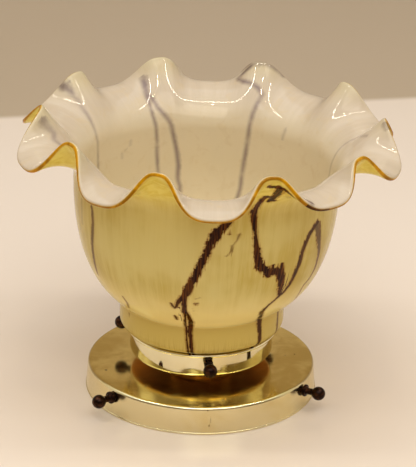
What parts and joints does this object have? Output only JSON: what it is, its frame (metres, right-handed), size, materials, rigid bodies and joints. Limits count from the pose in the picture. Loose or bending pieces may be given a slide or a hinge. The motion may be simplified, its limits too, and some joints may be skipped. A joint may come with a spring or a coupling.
{
  "type": "ceiling light",
  "caption": "Semi-flush ceiling light: a ruffled cased-glass bowl shade held by thumb screws in a brass gallery on a round canopy, with a screw lampholder inside.",
  "frame": {"origin": "centre of the cable entry in the ceiling plane, under the canopy's open rim", "axes": "+Z from the ceiling plane out through the lampholder to the shade's mouth; +X to the right and -Y towards the viewer in the picture"},
  "size_m": [0.217, 0.223, 0.1751],
  "materials": {
    "polished_brass": "polished, lightly tarnished",
    "turned_brass": "turned, satin",
    "spring_brass": "plain rolled",
    "dark_bronze": "dark bronze patina, semi-gloss",
    "zinc_steel": "zinc plated",
    "grommet_rubber": "matt",
    "white_plastic": "moulded, satin",
    "porcelain": "glazed",
    "live_insulation": "extruded insulation",
    "neutral_insulation": "extruded insulation",
    "earth_insulation": "extruded insulation, two-colour stripe",
    "opal_glass": "cased opal glass, amber outside with dark random veins, glossy"
  },
  "bodies": {
    "ceiling_side": {"ceiling_plate": "zinc_steel", "cable_grommet": "grommet_rubber"},
    "fitting": {"canopy": "polished_brass", "stem": "zinc_steel", "stem_bush": "white_plastic", "stem_lock_washer": "zinc_steel", "stem_lock_nut": "zinc_steel", "spacer": "polished_brass", "gallery": "polished_brass", "gallery_washer": "turned_brass", "gallery_nut": "turned_brass", "lampholder_cap": "turned_brass", "lampholder_shell": "turned_brass", "lampholder_insulator": "porcelain", "lamp_screw_shell": "turned_brass", "centre_contact": "spring_brass", "side_contact": "spring_brass", "holder_terminal_screws": "zinc_steel", "holder_lock_screw": "zinc_steel", "terminal_strap": "zinc_steel", "terminal_block": "white_plastic", "terminal_tubes": "spring_brass", "terminal_block_screws": "zinc_steel", "block_fixing_screw": "zinc_steel", "live_lead": "live_insulation", "neutral_lead": "neutral_insulation", "earth_tag": "spring_brass", "earth_lead": "earth_insulation"},
    "shade": {"glass_shade": "opal_glass"},
    "canopy_thumb_left": {"canopy_screw_left": "dark_bronze"},
    "canopy_thumb_right": {"canopy_screw_right": "dark_bronze"},
    "canopy_thumb_back": {"canopy_screw_back": "dark_bronze"},
    "gallery_thumb_front": {"gallery_screw_front": "dark_bronze"},
    "gallery_thumb_right": {"gallery_screw_right": "dark_bronze"},
    "gallery_thumb_left": {"gallery_screw_left": "dark_bronze"}
  },
  "joints": [
    {"name": "canopy_lift", "type": "slide", "parent": "ceiling_side", "child": "fitting", "axis": [0, 0, 1], "range_m": [0, 0.025]},
    {"name": "shade_lift", "type": "slide", "parent": "fitting", "child": "shade", "axis": [0, 0, 1], "range_m": [0, 0.06]},
    {"name": "canopy_screw_left_travel", "type": "slide", "parent": "fitting", "child": "canopy_thumb_left", "axis": [-0.7501, -0.6613, 0], "range_m": [-0.00045, 0.0009]},
    {"name": "canopy_screw_right_travel", "type": "slide", "parent": "fitting", "child": "canopy_thumb_right", "axis": [0.8878, -0.4602, 0], "range_m": [-0.00045, 0.0009]},
    {"name": "canopy_screw_back_travel", "type": "slide", "parent": "fitting", "child": "canopy_thumb_back", "axis": [-0.1045, 0.9945, 0], "range_m": [-0.00045, 0.0009]},
    {"name": "gallery_screw_front_travel", "type": "slide", "parent": "fitting", "child": "gallery_thumb_front", "axis": [0.1115, -0.9938, 0], "range_m": [-0.00045, 0.0009]},
    {"name": "gallery_screw_right_travel", "type": "slide", "parent": "fitting", "child": "gallery_thumb_right", "axis": [0.7986, 0.6018, 0], "range_m": [-0.00045, 0.0009]},
    {"name": "gallery_screw_left_travel", "type": "slide", "parent": "fitting", "child": "gallery_thumb_left", "axis": [-0.9537, 0.3007, 0], "range_m": [-0.00045, 0.0009]}
  ]
}
